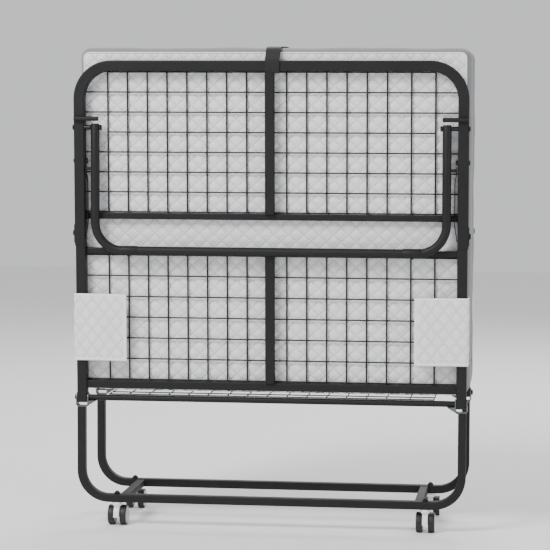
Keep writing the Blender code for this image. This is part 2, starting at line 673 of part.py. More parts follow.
def deck_half(end, frame, turned_round):
    """All that hangs on one deck hinge. The rear half is the front one turned about Z."""
    lean = empty(f"deck_{end}_axis", frame, (0, -HALF_SPACING, HINGE_HEIGHT), (LEAN_DEG, 0, 0))
    names = {sign: side for side, sign in SIDE}
    low_edge = LOW_CROSS_AT + CROSS_LARGE / 2
    mid_edge = MID_CROSS_AT - CROSS_SMALL / 2
    high_edge = HIGH_CROSS_AT + CROSS_SMALL / 2
    top_edge = DECK_TOP - BENT_TUBE
    bent_top_tube(f"{end}_deck_bent_tube", lean)
    cross_tube(f"{end}_deck_cross_tube_low", LOW_CROSS_AT, CROSS_LARGE, lean)
    cross_tube(f"{end}_deck_cross_tube_mid", MID_CROSS_AT, CROSS_SMALL, lean)
    cross_tube(f"{end}_deck_cross_tube_high", HIGH_CROSS_AT, CROSS_SMALL, lean)
    spine(f"{end}_deck_spine_low", low_edge, mid_edge, lean)
    spine(f"{end}_deck_spine_high", high_edge, top_edge, lean)
    wire_panel(f"{end}_deck_wire_low", low_edge, mid_edge, LOW_ROWS, None, lean)
    wire_panel(f"{end}_deck_wire_high", high_edge, wire_top(), HIGH_ROWS, SHORT_ROW, lean)
    mattress_half(f"mattress_{end}", lean)
    strap_half(f"strap_{end}", -STRAP_X if turned_round else STRAP_X, lean)
    leg_at = (0, -LEG_PIVOT_FORWARD, LEG_PIVOT_AT)
    leg_axis = empty(f"leg_{end}_axis", lean, leg_at, (-LEAN_DEG, 0, 0))
    leg(f"leg_{end}", leg_axis)
    for _, sign in SIDE:
        side = names[-sign if turned_round else sign]
        side_tube(f"{end}_deck_side_tube_{side}", sign, lean)
        pivot_bolt(f"leg_{end}_pivot_bolt_{side}", sign, lean)
        leg_clip(f"leg_{end}_clip_{side}", sign, lean)
        side_tab(f"mattress_{end}_tab_{side}", sign, lean)
        hinge_bracket(f"hinge_bracket_{end}_{side}", sign, frame)
    hinge_axle(f"hinge_axle_{end}", frame)
    base_hoop(f"base_hoop_{end}", frame)


clear_scene()
COT = collection("folding_cot")
CUTTERS = collection("cutters")
front_frame = empty("front_frame")
rear_frame = empty("rear_frame", None, (0, 0, 0), (0, 0, 180))
deck_half("front", front_frame, False)
deck_half("rear", rear_frame, True)
for side_name, side_sign in SIDE:
    crosspiece(f"base_crosspiece_{side_name}", side_sign)
middle_grille("base_middle_wires")
mattress_middle("mattress_middle")
casters()
bpy.context.view_layer.update()
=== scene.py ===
import json
import math

import bpy
import numpy as np
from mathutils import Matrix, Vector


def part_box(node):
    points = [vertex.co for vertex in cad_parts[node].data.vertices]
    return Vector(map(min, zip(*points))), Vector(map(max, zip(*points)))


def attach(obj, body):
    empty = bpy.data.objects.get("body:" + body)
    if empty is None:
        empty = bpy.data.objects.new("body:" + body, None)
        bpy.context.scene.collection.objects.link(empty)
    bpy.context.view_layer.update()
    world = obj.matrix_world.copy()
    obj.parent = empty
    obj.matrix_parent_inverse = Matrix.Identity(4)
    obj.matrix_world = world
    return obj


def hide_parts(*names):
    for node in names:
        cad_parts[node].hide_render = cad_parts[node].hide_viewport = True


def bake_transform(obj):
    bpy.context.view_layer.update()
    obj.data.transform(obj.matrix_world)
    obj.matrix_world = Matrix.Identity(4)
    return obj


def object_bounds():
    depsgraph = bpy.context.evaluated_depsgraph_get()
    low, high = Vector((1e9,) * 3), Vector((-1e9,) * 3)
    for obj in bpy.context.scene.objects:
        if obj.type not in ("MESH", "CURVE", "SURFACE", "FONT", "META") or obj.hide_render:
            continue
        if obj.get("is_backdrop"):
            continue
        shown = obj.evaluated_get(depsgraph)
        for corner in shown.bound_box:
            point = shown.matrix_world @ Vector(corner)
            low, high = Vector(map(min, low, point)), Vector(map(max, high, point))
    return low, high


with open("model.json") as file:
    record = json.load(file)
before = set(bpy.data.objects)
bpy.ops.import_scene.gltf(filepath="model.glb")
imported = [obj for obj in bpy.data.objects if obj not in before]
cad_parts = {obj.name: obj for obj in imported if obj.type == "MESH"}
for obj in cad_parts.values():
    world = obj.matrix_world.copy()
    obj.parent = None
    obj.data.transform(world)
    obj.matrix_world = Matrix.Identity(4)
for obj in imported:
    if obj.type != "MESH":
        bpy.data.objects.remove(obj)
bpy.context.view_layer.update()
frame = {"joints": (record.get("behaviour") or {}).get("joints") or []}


# ------------------------------------------------------------ room
# A pale seamless floor, lit by a broad soft panel over the front, a weaker one at the right and a
# grey sky that fills the shadows.

def linear(code):
    """sRGB hex to linear colour: the low part is divided by 12.92, the rest follows a 2.4 power."""
    value = np.array([int(code[i:i + 2], 16) for i in (1, 3, 5)]) / 255
    low, high = value / 12.92, ((value + 0.055) / 1.055) ** 2.4
    return (*np.where(value <= 0.04045, low, high).tolist(), 1.0)


def add(tree, kind, settings=(), links=()):
    """Add one node: settings are (socket or property, value), links are (socket, source output)."""
    made = tree.nodes.new(kind)
    for name, value in settings:
        if name in made.inputs:
            made.inputs[name].default_value = value
        else:
            setattr(made, name, value)
    for socket, source in links:
        tree.links.new(source, made.inputs[socket])
    return made


def finish_named(name, surface):
    """A material with its Principled shader set: surface is (socket, value) pairs. Returns the
    material, its node tree and its shader."""
    made = bpy.data.materials.new(name)
    made.use_nodes = True
    shader = made.node_tree.nodes["Principled BSDF"]
    for socket, value in surface:
        shader.inputs[socket].default_value = value
    return made, made.node_tree, shader


def obj_from(name, points, faces, material, sharp_deg=38):
    """A mesh object from vertex positions and faces, smooth but for edges past an angle."""
    mesh = bpy.data.meshes.new(name)
    mesh.from_pydata(np.asarray(points, float).reshape(-1, 3).tolist(), [], faces)
    mesh.polygons.foreach_set("use_smooth", np.ones(len(mesh.polygons), bool))
    mesh.set_sharp_from_angle(angle=math.radians(sharp_deg))
    mesh.materials.append(material)
    mesh.update()
    made = bpy.data.objects.new(name, mesh)
    bpy.context.scene.collection.objects.link(made)
    return made


floor_paint = finish_named("studio_floor", (("Base Color", linear("#F0F0F0")), ("Roughness", 0.8)))[0]
floor_corners = [[-9, -9, 0], [9, -9, 0], [9, 9, 0], [-9, 9, 0]]
floor = obj_from("studio_floor", floor_corners, [[0, 1, 2, 3]], floor_paint)
floor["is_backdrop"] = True

world = bpy.data.worlds.new("soft_sky")
bpy.context.scene.world = world
world.use_nodes = True
world.node_tree.nodes["Background"].inputs["Color"].default_value = linear("#F2F3F5")
world.node_tree.nodes["Background"].inputs["Strength"].default_value = 0.85

for lamp_name, place, aim, size, power in (
    ("key_panel", (-2.2, -3.2, 4.0), (0, 0, 0.6), 1.8, 250),
    ("side_panel", (3.6, -1.2, 1.8), (0, 0, 0.6), 1.6, 30),
    ("back_panel", (0.5, 3.4, 3.4), (0, 0, 0.7), 2.2, 110),
):
    lamp = bpy.data.lights.new(lamp_name, "AREA")
    lamp.shape = "DISK"
    lamp.size = size
    lamp.energy = power
    holder = bpy.data.objects.new(lamp_name, lamp)
    bpy.context.scene.collection.objects.link(holder)
    toward = np.subtract(aim, place)
    holder.location = place
    flat = math.hypot(toward[0], toward[1])
    holder.rotation_euler = (math.atan2(flat, -toward[2]), 0, math.atan2(-toward[0], toward[1]))

camera = bpy.data.cameras.new("camera")
camera.lens = 139.77
camera.sensor_width = 36
camera.shift_x = -0.05
camera.shift_y = -0.03
camera_stand = bpy.data.objects.new("camera", camera)
bpy.context.scene.collection.objects.link(camera_stand)
camera_stand.location = (0.6847, -5.358, 1.025)
camera_stand.rotation_euler = (math.radians(90 - 3.753), math.radians(-0.228), math.radians(6.605))
bpy.context.scene.camera = camera_stand


# ------------------------------------------------------------ base hoops and crosspieces
# Two U-shaped hoops of 20 by 25 mm rectangular steel tube, bent cold to 80 mm outside the corner,
# and two 22 by 18 mm crosspieces welded between their rails, all powder coated in satin black.

joint_at = {joint["name"]: joint["pos_m"] for joint in frame["joints"]}
HOOP_Y, PIN_Z = joint_at["deck_rear_fold"][1:]  # the deck hinges: how far out, and how high
RAIL_Z = 0.070  # height of the rails' middle
HOOP_BEND = 0.070  # bend radius on the tube's middle line


def powder_coat(name, color, rough=0.5):
    """Baked powder coat: a faint orange-peel ripple about 1.5 mm across, and a little dulling in
    soft patches 60 mm across where it has been handled."""
    made, tree, shader = finish_named(name, (("Roughness", rough), ("Specular IOR Level", 0.28)))
    place = add(tree, "ShaderNodeTexCoord").outputs["Object"]
    patch = add(tree, "ShaderNodeTexNoise", (("Scale", 16.0), ("Detail", 3.0)), (("Vector", place),))
    tone = add(tree, "ShaderNodeValToRGB", (), (("Fac", patch.outputs["Fac"]),))
    dark, light = [c * 0.86 for c in linear(color)[:3]], [c * 1.14 for c in linear(color)[:3]]
    tone.color_ramp.elements[0].position = 0.3
    tone.color_ramp.elements[0].color = (*dark, 1)
    tone.color_ramp.elements[1].position = 0.7
    tone.color_ramp.elements[1].color = (*light, 1)
    tree.links.new(tone.outputs["Color"], shader.inputs["Base Color"])
    dull = add(tree, "ShaderNodeMapRange", (("To Min", rough - 0.07), ("To Max", rough + 0.09)),
               (("Value", patch.outputs["Fac"]),))
    tree.links.new(dull.outputs["Result"], shader.inputs["Roughness"])
    ripple = add(tree, "ShaderNodeTexNoise", (("Scale", 650.0), ("Detail", 2.0)), (("Vector", place),))
    bump = add(tree, "ShaderNodeBump", (("Strength", 0.35), ("Distance", 0.0004)),
               (("Height", ripple.outputs["Fac"]),))
    tree.links.new(bump.outputs["Normal"], shader.inputs["Normal"])
    return made


coat = powder_coat("steel_powder_coated_black", "#171718", 0.55)


def box_section(wide, deep, radius=0.003, steps=3):
    """A rounded rectangle as a loop: each corner is a quarter circle, with a short flat beside it so
    that the faces stay flat when shaded. First column runs across the path, second across its plane."""
    turn = np.radians(np.linspace(0, 90, steps + 1))
    beside = 0.0006
    loop = []
    for k, (sx, sy) in enumerate(((1, 1), (-1, 1), (-1, -1), (1, -1))):
        angle = turn + k * math.pi / 2
        center = np.array([sx * (wide / 2 - radius), sy * (deep / 2 - radius)])
        corner = center + radius * np.stack([np.cos(angle), np.sin(angle)], 1)
        along_in = corner[0] + beside * np.array([np.sin(angle[0]), -np.cos(angle[0])])
        along_out = corner[-1] + beside * np.array([-np.sin(angle[-1]), np.cos(angle[-1])])
        loop += [along_in, *corner, along_out]
    return np.array(loop)


def round_section(radius, steps):
    """A circle as a loop of points."""
    angle = np.linspace(0, 2 * math.pi, steps, endpoint=False)
    return radius * np.stack([np.cos(angle), np.sin(angle)], 1)


def carried(path, side, section):
    """A section carried along a flat path: each point is the path's, plus the section's first
    column times (side cross tangent), plus its second column times the side direction."""
    path = np.asarray(path, float)
    side = np.asarray(side, float)
    step = np.diff(path, axis=0)
    step /= np.linalg.norm(step, axis=1)[:, None]
    tangent = np.vstack([step[:1], step[1:] + step[:-1], step[-1:]])
    tangent /= np.linalg.norm(tangent, axis=1)[:, None]
    across = np.cross(side, tangent)
    return path[:, None] + across[:, None] * section[None, :, :1] + side * section[None, :, 1:]


def skin(grid, shut):
    """Faces over a grid whose second direction is a loop, with a flat face over each end if shut."""
    rows, loop = grid.shape[:2]
    index = np.arange(rows * loop).reshape(rows, loop)
    after = np.roll(index, -1, axis=1)
    quads = np.stack([index[:-1], after[:-1], after[1:], index[1:]], -1).reshape(-1, 4).tolist()
    if shut:
        quads += [index[0][::-1].tolist(), index[-1].tolist()]
    return quads


def outward(name, grids, material, sharp_deg=38, shut=True):
    """One object from several closed skins, each turned so that its faces point out: the signed
    volume of a skin is a sixth of the sum of each face fan's triple products."""
    points, faces = [], []
    for grid in grids:
        loop_faces = skin(grid, shut)
        flat = grid.reshape(-1, 3)
        middle = flat - flat.mean(0)
        quads = np.array([f for f in loop_faces if len(f) == 4])
        a, b, c, d = (middle[quads[:, k]] for k in range(4))
        volume = np.einsum("ij,ij->i", a, np.cross(b, c)).sum()
        volume += np.einsum("ij,ij->i", a, np.cross(c, d)).sum()
        first = sum(len(p) for p in points)
        points.append(flat)
        faces += [[first + i for i in (f if volume > 0 else f[::-1])] for f in loop_faces]
    return obj_from(name, np.concatenate(points), faces, material, sharp_deg)


def bend(center, radius, start, stop, steps=14):
    """Points on a circle between two angles in degrees."""
    angle = np.radians(np.linspace(start, stop, steps + 1))
    return np.stack([center[0] + radius * np.cos(angle), center[1] + radius * np.sin(angle)], 1)


def in_wall(flat, y):
    """Points of an upright plane (x, z) at one y."""
    flat = np.asarray(flat, float)
    return np.stack([flat[:, 0], np.full(len(flat), y), flat[:, 1]], 1)


def weld_bead(center, axis, wide, deep, thick=0.0009):
    """The fillet weld round a tube's end: a rounded rectangular ring whose thickness wavers a little."""
    loop = box_section(wide + thick, deep + thick, 0.0035, 4)  # a little rounder than the tube
    loop = np.vstack([loop, loop[:1]])
    axis = np.asarray(axis, float)
    u = np.cross(axis, (0.0, 0.0, 1.0)) if abs(axis[2]) < 0.9 else np.array([1.0, 0, 0])
    u /= np.linalg.norm(u)
    v = np.cross(axis, u)
    ring = np.asarray(center) + loop[:, :1] * u + loop[:, 1:] * v
    waver = 1 + 0.18 * np.sin(np.arange(len(ring)) * 2.1)
    angle = np.linspace(0, 2 * math.pi, 8, endpoint=False)
    out = ring - np.asarray(center)
    out /= np.linalg.norm(out, axis=1)[:, None]
    circle_out = np.cos(angle)[None, :, None] * out[:, None] * (thick * waver)[:, None, None]
    return ring[:, None] + circle_out + np.sin(angle)[None, :, None] * axis * (thick * waver)[:, None, None]


for end, y in (("front", -HOOP_Y), ("rear", HOOP_Y)):
    x, z, r = 0.4775, RAIL_Z, HOOP_BEND
    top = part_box(f"base_hoop_{end}")[1][2]
    left, right = bend((-x + r, z + r), r, 180, 270), bend((x - r, z + r), r, 270, 360)
    path = [[-x, top], [-x, 0.2], *left, *right, [x, 0.2], [x, top]]
    hoop = outward(f"hoop_{end}", [carried(in_wall(path, y), (0, 1, 0), box_section(0.020, 0.025))], coat)
    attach(hoop, "base")
    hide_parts(f"base_hoop_{end}")

for side, sign in (("left", -1), ("right", 1)):
    x, reach = sign * 0.3715, HOOP_Y - 0.0128
    path = [[x, -reach, RAIL_Z], [x, 0, RAIL_Z], [x, reach, RAIL_Z]]
    bar = carried(path, (0, 0, 1), box_section(0.022, 0.018))
    beads = [weld_bead((x, k * reach, RAIL_Z), (0, 1, 0), 0.022, 0.018) for k in (-1, 1)]
    crosspiece = outward(f"crosspiece_{side}", [bar, *beads], coat)
    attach(crosspiece, "base")
    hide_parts(f"base_crosspiece_{side}")


# ------------------------------------------------------------ hinge brackets and axles
# Each upright carries a clevis of 3 mm sheet, bent to a U and zinc plated: two cheeks round the
# deck tube, a rounded floor, and a gusset under the hinge tube.
# A round tube joins the brackets across the base, with a shoulder bolt through each end.

def plated_steel(name, color, rough=0.34):
    """Zinc plate over pressed steel: a metal with a fine brushed grain 0.8 mm wide and dull spots."""
    made, tree, shader = finish_named(name, (("Metallic", 1.0),))
    place = add(tree, "ShaderNodeTexCoord").outputs["Object"]
    spots = add(tree, "ShaderNodeTexNoise", (("Scale", 90.0), ("Detail", 4.0)), (("Vector", place),))
    tone = add(tree, "ShaderNodeValToRGB", (), (("Fac", spots.outputs["Fac"]),))
    tone.color_ramp.elements[0].position = 0.35
    tone.color_ramp.elements[0].color = tuple(c * 0.75 for c in linear(color)[:3]) + (1,)
    tone.color_ramp.elements[1].position = 0.65
    tone.color_ramp.elements[1].color = linear(color)
    tree.links.new(tone.outputs["Color"], shader.inputs["Base Color"])
    dull = add(tree, "ShaderNodeMapRange", (("To Min", rough - 0.08), ("To Max", rough + 0.14)),
               (("Value", spots.outputs["Fac"]),))
    tree.links.new(dull.outputs["Result"], shader.inputs["Roughness"])
    grain = add(tree, "ShaderNodeTexNoise", (("Scale", 1200.0), ("Detail", 1.0)), (("Vector", place),))
    bump = add(tree, "ShaderNodeBump", (("Strength", 0.2), ("Distance", 0.0003)),
               (("Height", grain.outputs["Fac"]),))
    tree.links.new(bump.outputs["Normal"], shader.inputs["Normal"])
    return made


zinc = plated_steel("steel_zinc_plated", "#77787A", 0.45)
blackened = plated_steel("steel_bolt_blackened", "#3A3A3C", 0.4)


def plate(outline, x_low, x_high, edge=0.0006):
    """A flat plate with broken edges: the outline, in (y, z), is drawn at both faces a little
    smaller, and at full size just inside them."""
    outline = np.asarray(outline, float)
    middle = outline.mean(0)
    reach = np.linalg.norm(outline - middle, axis=1, keepdims=True)
    small = middle + (outline - middle) * (1 - edge / reach)
    rows = ((x_low, small), (x_low + edge, outline), (x_high - edge, outline), (x_high, small))
    return np.stack([np.column_stack([np.full(len(o), x), o]) for x, o in rows])


def turned(profile, center, steps=28):
    """A shape turned about X: each (x, radius) of the profile becomes a circle of that radius."""
    angle = np.linspace(0, 2 * math.pi, steps, endpoint=False)
    rows = [np.column_stack([np.full(steps, x), r * np.cos(angle), r * np.sin(angle)]) for x, r in profile]
    return np.stack(rows) + np.asarray(center)


def hex_head(x_low, x_high, across, center):
    """A six-sided head turned on a lathe at its outer face: the hexagon, then a smaller circle."""
    steps = 24
    angle = np.linspace(0, 2 * math.pi, steps, endpoint=False)
    flat = across / 2 / np.cos((angle + math.pi / 6) % (math.pi / 3) - math.pi / 6)
    rows = [(x_low, flat), (x_low + 0.75 * (x_high - x_low), flat), (x_high, np.full(steps, across * 0.45))]
    rings = [np.column_stack([np.full(steps, x), r * np.cos(angle), r * np.sin(angle)]) for x, r in rows]
    return np.stack(rings) + np.asarray(center)


for end, way in (("front", -1), ("rear", 1)):
    for side, sign in (("left", -1), ("right", 1)):
        y = way * HOOP_Y
        low = PIN_Z - 0.0235
        reach = 0.0122
        top = bend((y, PIN_Z), reach, 0, 180, 12)
        cheek = [[y - reach, low + 0.005], [y + reach, low + 0.005], *top.tolist()]
        inner = sorted((sign * 0.4592, sign * 0.4622))
        outer = sorted((sign * 0.4878, sign * 0.4906))
        lane = [[0.4606, low + 0.009], *bend((0.4666, low + 0.0075), 0.006, 180, 270, 6),
                *bend((0.4832, low + 0.0075), 0.006, 270, 360, 6), [0.4892, low + 0.009]]
        floor_path = in_wall([[sign * a, b] for a, b in lane], y)
        web = carried(floor_path, (0, 1, 0), box_section(0.0026, 0.0246, 0.001))
        under_tube = PIN_Z - 0.0082
        gusset_line = [[sign * 0.4592, low + 0.004], [sign * 0.4405, under_tube], [sign * 0.4592, under_tube]]
        gusset = np.stack([in_wall(gusset_line, y + k) for k in (-0.0115, 0.0115)])
        grids = [plate(cheek, *inner), plate(cheek, *outer), web, gusset]
        bracket = outward(f"hinge_clevis_{end}_{side}", grids, zinc)
        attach(bracket, "base")
        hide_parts(f"hinge_bracket_{end}_{side}")
    tube_end, head = 0.4589, 0.4911
    half = [(0.0, 0.0075), (tube_end - 0.0006, 0.0075), (tube_end, 0.0069), (tube_end, 0.004)]
    half += [(head, 0.004), (head, 0.0068), (head + 0.0028, 0.0066), (head + 0.0038, 0.0052)]
    half += [(head + 0.0041, 0.003), (head + 0.0041, 0.0002)]
    profile = [(-x, r) for x, r in half[::-1]] + half[1:]
    axle = outward(f"hinge_tube_{end}", [turned(profile, (0, way * HOOP_Y, PIN_Z))], coat)
    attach(axle, "base")
    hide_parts(f"hinge_axle_{end}")


# ------------------------------------------------------------ middle wires
# Seventeen short 3 mm wires and five long ones across them, resistance welded and black coated,
# that bridge the two hinge tubes and carry the middle of the mattress.

WIRE_R = 0.0015
WIRES_OUT = 0.407  # how far out the last wire is
wire_coat = powder_coat("steel_wire_coated_black", "#161617", 0.42)
even = -WIRES_OUT + 0.0497 * np.arange(15)
columns = np.concatenate([even, even[-1] + (WIRES_OUT - even[-1]) * np.array([0.5, 1.0])])


def wires(lines, side, radius):
    """Straight round wires between pairs of points, each with a slightly domed end."""
    grids, dome = [], 0.0004
    for a, b in lines:
        a, b = np.asarray(a, float), np.asarray(b, float)
        along = (b - a) / np.linalg.norm(b - a)
        path = [a, a + along * dome, b - along * dome, b]
        grid = carried(path, side, round_section(radius, 8))
        for row in (0, -1):
            grid[row] = grid[row].mean(0) + (grid[row] - grid[row].mean(0)) * 0.7
        grids.append(grid)
    return grids


z = PIN_Z + 0.0078 + WIRE_R
rows_y = (-HOOP_Y, -0.059, 0.0, 0.059, HOOP_Y)
short = wires([((x, -0.1185, z), (x, 0.1185, z)) for x in columns], (0, 0, 1), WIRE_R)
levels = [z - 0.0022 * (abs(y) < 0.1) for y in rows_y]  # the three inner ones lie below the short wires
ends = [((-0.4085, y, level), (0.4085, y, level)) for y, level in zip(rows_y, levels)]
long = wires(ends, (0, 0, 1), WIRE_R)
middle_wires = outward("middle_wires", short + long, wire_coat)
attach(middle_wires, "base")
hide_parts("base_middle_wires")


# ------------------------------------------------------------ casters
# Twin-wheel casters 50 mm in diameter. The swivel body is one white nylon moulding: a boss round
# the steel stem, a web between the wheels and a curved hood over their front. The wheels have a
# dark tread and a pale pressed-in disc. A flange nut holds each stem on top of the rail.

def moulded(name, color, rough, mottle=0.05, sheen_coat=0.0):
    """Injection-moulded plastic: nearly even colour, with a faint flow mottle about 12 mm across
    and a fine spark-eroded grain 0.6 mm across."""
    made, tree, shader = finish_named(name, (("Roughness", rough), ("IOR", 1.5), ("Coat Weight", sheen_coat),
                                             ("Coat Roughness", 0.2)))
    place = add(tree, "ShaderNodeTexCoord").outputs["Object"]
    flow = add(tree, "ShaderNodeTexNoise", (("Scale", 80.0), ("Detail", 2.0)), (("Vector", place),))
    tone = add(tree, "ShaderNodeValToRGB", (), (("Fac", flow.outputs["Fac"]),))
    tone.color_ramp.elements[0].color = tuple(c * (1 - mottle) for c in linear(color)[:3]) + (1,)
    tone.color_ramp.elements[1].color = linear(color)
    tree.links.new(tone.outputs["Color"], shader.inputs["Base Color"])
    grain = add(tree, "ShaderNodeTexNoise", (("Scale", 1600.0), ("Detail", 1.0)), (("Vector", place),))
    bump = add(tree, "ShaderNodeBump", (("Strength", 0.15), ("Distance", 0.0003)),
               (("Height", grain.outputs["Fac"]),))
    tree.links.new(bump.outputs["Normal"], shader.inputs["Normal"])
    return made


def stood(grid):
    """A shape turned about X, stood up to run along Z."""
    return grid[:, :, [1, 2, 0]]


nylon = moulded("nylon_moulded_white", "#EDEDEE", 0.32, 0.04, 0.3)
tread = moulded("polyurethane_tread_black", "#1C1C1D", 0.55, 0.2)
disc = moulded("nylon_disc_pale_grey", "#B6B7BA", 0.38, 0.06)

for end, way in (("front", -1), ("rear", 1)):
    for side, sign in (("left", -1), ("right", 1)):
        body, wheel_body = f"caster_{end}_{side}_swivel", f"caster_{end}_{side}_wheels"
        x, y = joint_at[body][:2]
        hub = np.array(joint_at[f"caster_{end}_{side}_roll"])
        angle = np.radians(np.linspace(42, 184, 26))
        spread = np.clip((np.degrees(angle) - 120) / 70, 0, 1)
        reach = 0.0285 + 0.0035 * spread
        path = np.column_stack([np.zeros(26), reach * np.cos(angle), reach * np.sin(angle)]) + hub
        hood = carried(path, (1, 0, 0), box_section(0.0042, 0.0138, 0.0015, 4))
        flare = 0.72 + 0.28 * np.sin(np.clip((np.degrees(angle) - 42) / 60, 0, 1) * math.pi / 2)
        narrow = np.stack([flare, np.ones(26), np.ones(26)], 1)[:, None]
        hood = hub * [1, 0, 0] + (hood - hub * [1, 0, 0]) * narrow
        rim = np.vstack([bend((0, 0), 0.0278, 46, 182, 19), bend((0, 0), 0.0068, 235, 375, 11)])
        web = plate(rim + hub[1:], x - 0.0064, x + 0.0064, 0.0008)
        boss_profile = [(0.0, 0.0002), (0.0, 0.0118), (-0.0012, 0.0124), (-0.006, 0.0122), (-0.0105, 0.0098),
                        (-0.013, 0.0002)]
        boss = stood(turned(boss_profile, (0, 0, 0), 32)) + np.array([x, y, 0.0598])
        shell = outward(f"caster_{end}_{side}_body", [hood, web, boss], nylon, 50)
        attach(shell, body)
        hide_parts(f"caster_{end}_{side}_housing")
        shank = [(0.0, 0.0002), (0.0, 0.0045), (0.0215, 0.0045), (0.0215, 0.0072), (0.0222, 0.0074),
                 (0.0258, 0.0066), (0.0258, 0.0042), (0.0285, 0.0038), (0.0285, 0.0002)]
        shank = stood(turned(shank, (0, 0, 0), 24)) + np.array([x, y, 0.0592])
        stem = outward(f"caster_{end}_{side}_stem", [shank], blackened)
        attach(stem, body)
        treads, discs = [], []
        for k in (-1, 1):
            w0, w1 = 0.0072, 0.0232  # the wheel's inner and outer faces, from the web's middle
            ring = [(w0, 0.0185), (w0, 0.0236), (w0 + 0.0008, 0.0245), (w0 + 0.002, 0.025),
                    (w1 - 0.002, 0.025), (w1 - 0.0006, 0.0245), (w1, 0.0238), (w1, 0.0228),
                    (w1 - 0.0008, 0.0223), (w1 - 0.002, 0.0223), (w1 - 0.002, 0.0185)]
            treads.append(turned([(k * a, r) for a, r in ring + ring[:1]], hub, 40))
            face = [(w0 + 0.0004, 0.0002), (w0 + 0.0004, 0.0184), (w1 - 0.0019, 0.0184),
                    (w1 - 0.0019, 0.0219), (w1 - 0.0004, 0.0221), (w1 + 0.0002, 0.0214),
                    (w1 + 0.0004, 0.018), (w1 + 0.0006, 0.008), (w1 + 0.0003, 0.0072),
                    (w1 + 0.0003, 0.0062), (w1 + 0.0008, 0.0054), (w1 + 0.0008, 0.0002)]
            discs.append(turned([(k * a, r) for a, r in face], hub, 40))
        axle_line = [(-0.0074, 0.0002), (-0.0074, 0.004), (0.0074, 0.004), (0.0074, 0.0002)]
        discs.append(turned(axle_line, hub, 20))
        rolling = outward(f"caster_{end}_{side}_tread", treads, tread, 50, False)
        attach(rolling, wheel_body)
        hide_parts(f"caster_{end}_{side}_wheels")
        faces = outward(f"caster_{end}_{side}_discs", discs, disc, 50)
        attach(faces, wheel_body)


# ------------------------------------------------------------ deck frames
# Each deck half is square steel tube: a bent head that sleeves over two straight side tubes, three
# cross tubes and two lengths of middle tube, welded and powder coated like the base. Two round stop
# rods stand out above the leg pivots, and a plate with a bolt holds each sleeve.

LEAN = math.radians(2.0)  # how far each half leans out at rest
TUBE_X = 0.475  # middle of the side tubes
CROSS_END = 0.4622  # where the cross tubes meet the side tubes
SLEEVE_AT = 0.3835  # lower end of the head's sleeves, up the deck


def on_deck(points, end):
    """Points given as (across, inwards, up the deck) from the hinge: leaned outwards by the deck's
    angle and moved to the hinge. The rear half is the same turned half round the upright axis."""
    p = np.asarray(points, float)
    y = p[..., 1] * math.cos(LEAN) - p[..., 2] * math.sin(LEAN) - HOOP_Y
    z = p[..., 1] * math.sin(LEAN) + p[..., 2] * math.cos(LEAN) + PIN_Z
    turn = 1 if end == "front" else -1
    return np.stack([turn * p[..., 0], turn * y, z], -1)


def straight(a, b, side, section):
    """A section carried straight from a to b."""
    middle = (np.asarray(a, float) + b) / 2
    return carried([a, middle, b], side, section)


def named_side(end, sign):
    """The side's name as seen from the front: the rear half is turned round, so its sides swap."""
    return "right" if (sign > 0) == (end == "front") else "left"


